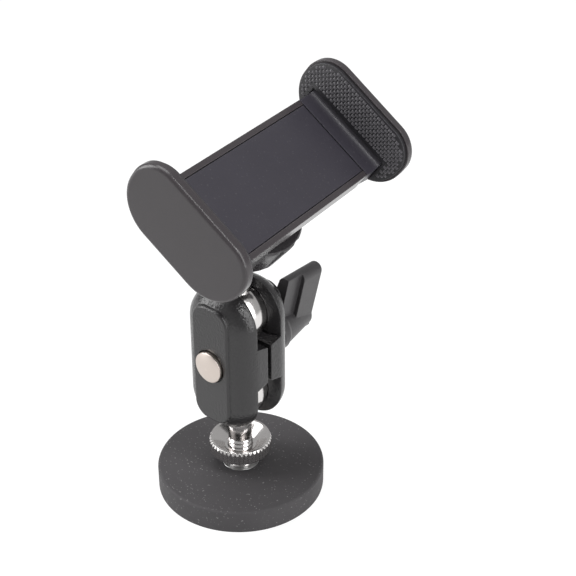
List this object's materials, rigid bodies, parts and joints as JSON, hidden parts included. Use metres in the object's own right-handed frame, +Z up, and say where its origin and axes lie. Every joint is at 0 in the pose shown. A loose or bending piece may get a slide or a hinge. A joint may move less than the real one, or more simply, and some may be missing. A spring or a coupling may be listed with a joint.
{
  "type": "phone mount",
  "caption": "Magnetic base phone mount with a two-shell clamped ball arm, a lever knob and a sprung sliding jaw clip.",
  "frame": {"origin": "centre of the magnet base's bottom face", "axes": "+Z up away from the mounting surface, +Y along the clamp bolt towards the knob, +X to the side the clip leans to"},
  "size_m": [0.0533, 0.0666, 0.1083],
  "materials": {
    "rubber": "matte",
    "steel": "brushed",
    "magnet": "plated",
    "chrome": "mirror",
    "bolt_steel": "satin",
    "arm_plastic": "satin",
    "knob_plastic": "matte",
    "clip_plastic": "satin",
    "pad_rubber": "matte"
  },
  "bodies": {
    "base": {"rubber_coat": "rubber", "steel_plate": "steel", "ring_magnets": "magnet", "threaded_insert": "steel"},
    "lower_stud": {"lower_ball_stud": "chrome"},
    "lock_nut": {"knurled_lock_nut": "chrome"},
    "arm": {"arm_front_shell": "arm_plastic", "clamp_bolt": "bolt_steel", "opening_spring": "steel"},
    "rear_shell": {"arm_rear_shell": "arm_plastic", "knob_washer": "steel"},
    "knob": {"wing_knob": "knob_plastic", "knob_insert": "steel"},
    "upper_stud": {"upper_ball_stud": "chrome", "clip_ball": "knob_plastic"},
    "lock_ring": {"clip_lock_ring": "clip_plastic"},
    "clip": {"clip_body": "clip_plastic", "front_plate": "clip_plastic", "back_screws": "steel", "fixed_jaw_pad": "pad_rubber", "jaw_springs": "steel"},
    "slider": {"moving_jaw": "clip_plastic", "moving_jaw_pad": "pad_rubber"}
  },
  "joints": [
    {"name": "stud_swivel", "type": "hinge", "parent": "base", "child": "lower_stud", "pos_m": [0, 0, 0.006], "axis": [0, 0, 1], "continuous": true},
    {"name": "lock_nut_turn", "type": "hinge", "parent": "lower_stud", "child": "lock_nut", "pos_m": [0, 0, 0.0117], "axis": [0, 0, 1], "range_deg": [0, 720]},
    {"name": "arm_tilt", "type": "hinge", "parent": "lower_stud", "child": "arm", "pos_m": [0, 0, 0.0294], "axis": [0, 1, 0], "range_deg": [-85, 85]},
    {"name": "shell_opening", "type": "slide", "parent": "arm", "child": "rear_shell", "axis": [0, 1, 0], "range_m": [0, 0.001], "deforming": ["opening_spring"]},
    {"name": "knob_turn", "type": "hinge", "parent": "rear_shell", "child": "knob", "pos_m": [0, 0, 0.04005], "axis": [0, 1, 0], "range_deg": [0, 514.3]},
    {"name": "stud_tilt", "type": "hinge", "parent": "arm", "child": "upper_stud", "pos_m": [0, 0, 0.0507], "axis": [0, -1, 0], "range_deg": [-85, 85]},
    {"name": "clip_tilt", "type": "hinge", "parent": "upper_stud", "child": "lock_ring", "pos_m": [0.00143, 0, 0.07636], "axis": [0, 1, 0], "range_deg": [-72, 5]},
    {"name": "clip_spin", "type": "hinge", "parent": "lock_ring", "child": "clip", "pos_m": [0.00143, 0, 0.07636], "axis": [0.6143, 0, 0.7891], "continuous": true},
    {"name": "jaw_slide", "type": "slide", "parent": "clip", "child": "slider", "axis": [-0.0811, 0.9947, 0.0631], "range_m": [0, 0.028], "stiffness_N_per_m": 150, "springref_m": -0.01, "deforming": ["jaw_springs"]}
  ],
  "couplings": [
    {"joint": "knob_turn", "follows": "shell_opening", "rad_per_m": 8976}
  ]
}
